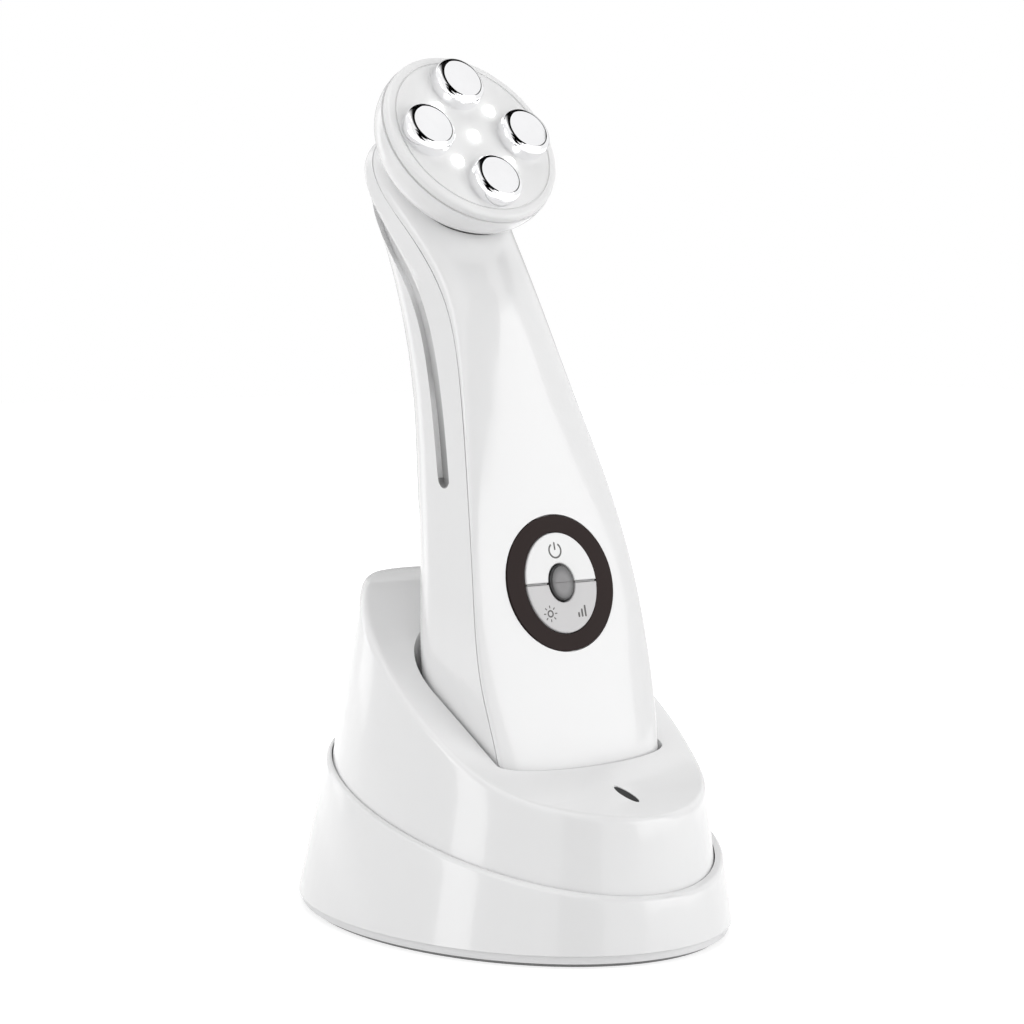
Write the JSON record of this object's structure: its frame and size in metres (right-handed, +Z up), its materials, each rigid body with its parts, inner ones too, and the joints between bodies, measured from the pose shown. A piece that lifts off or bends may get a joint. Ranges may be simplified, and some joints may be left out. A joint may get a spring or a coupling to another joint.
{
  "type": "radio-frequency facial device with charging dock",
  "caption": "Handheld facial device with a tilted round electrode and lamp head, an oval key panel and a sloped oval two-tier charging dock it stands in.",
  "frame": {"origin": "on the table, under the middle of the dock", "axes": "+Z up, -Y to the front where the key panel and the head face, +X to the right seen from the front"},
  "size_m": [0.0934, 0.1261, 0.21],
  "materials": {
    "white_shell": "glossy white moulding",
    "frosted_lens": "frosted translucent moulding",
    "chrome_face": "polished chrome",
    "led_white": "milky lamp body",
    "ring_brown": "dark brown satin",
    "key_white": "satin white",
    "key_grey": "satin pale grey",
    "window_grey": "smoked grey",
    "screw_steel": "plain steel",
    "dome_steel": "spring steel",
    "inner_grey": "matte grey moulding",
    "board_green": "lacquered circuit board",
    "cell_wrap": "shrink-wrapped cell",
    "coil_dark": "wound core in dark varnish",
    "contact_gold": "gold-plated contact",
    "seal_rubber": "soft grey rubber",
    "foot_rubber": "dark matte rubber",
    "base_white": "fine-grained white moulding",
    "light_smoke": "dark light pipe",
    "led_amber": "small lamp body",
    "inlet_steel": "drawn steel shell",
    "tongue_black": "black insulator",
    "lead_grey": "insulated lead"
  },
  "bodies": {
    "dock": {"dock_upper_shell": "white_shell", "dock_lower_ring": "white_shell", "dock_base_plate": "base_white", "base_pad": "foot_rubber", "base_screws": "screw_steel", "dock_board": "board_green", "dock_board_screws": "screw_steel", "contact_sleeves": "contact_gold", "charge_light": "light_smoke", "charge_led": "led_amber", "power_inlet": "inlet_steel", "inlet_tongue": "tongue_black"},
    "wand": {"front_shell": "white_shell", "back_shell": "white_shell", "head_bowl": "white_shell", "face_lens": "frosted_lens", "lens_seal": "seal_rubber", "led_board": "board_green", "electrode_right": "chrome_face", "electrode_left": "chrome_face", "electrode_top": "chrome_face", "electrode_bottom": "chrome_face", "electrode_nuts": "screw_steel", "face_leds": "led_white", "panel_ring": "ring_brown", "mode_key_pin": "screw_steel", "key_frame": "inner_grey", "indicator_lens": "window_grey", "power_dome": "dome_steel", "mode_domes": "dome_steel", "main_board": "board_green", "indicator_led": "led_white", "board_screws": "screw_steel", "battery_holder": "inner_grey", "battery_cell": "cell_wrap", "rf_transformer": "coil_dark", "charge_pad_left": "contact_gold", "charge_pad_right": "contact_gold", "charge_leads": "lead_grey", "head_harness": "lead_grey"},
    "power_key_body": {"power_key": "key_white"},
    "mode_key_body": {"mode_key": "key_grey"},
    "contact_pin_left_body": {"contact_pin_left": "contact_gold"},
    "contact_pin_right_body": {"contact_pin_right": "contact_gold"}
  },
  "joints": [
    {"name": "wand_lift", "type": "slide", "parent": "dock", "child": "wand", "axis": [0, 0, 1], "range_m": [0, 0.07]},
    {"name": "power_key_press", "type": "slide", "parent": "wand", "child": "power_key_body", "axis": [0, 0.9703, -0.2419], "range_m": [0, 0.00045], "stiffness_N_per_m": 1500, "springref_m": -0.0003, "deforming": ["power_dome"]},
    {"name": "mode_key_rock", "type": "hinge", "parent": "wand", "child": "mode_key_body", "pos_m": [0, -0.01592, 0.08183], "axis": [0, 0.2419, 0.9703], "range_deg": [-2.5, 2.5], "stiffness_Nm_per_rad": 0.24, "deforming": ["mode_domes"]},
    {"name": "contact_pin_left_press", "type": "slide", "parent": "dock", "child": "contact_pin_left_body", "axis": [0, 0, 1], "range_m": [-0.0005, 0], "stiffness_N_per_m": 200, "springref_m": 0.0015},
    {"name": "contact_pin_right_press", "type": "slide", "parent": "dock", "child": "contact_pin_right_body", "axis": [0, 0, 1], "range_m": [-0.0005, 0], "stiffness_N_per_m": 200, "springref_m": 0.0015}
  ]
}
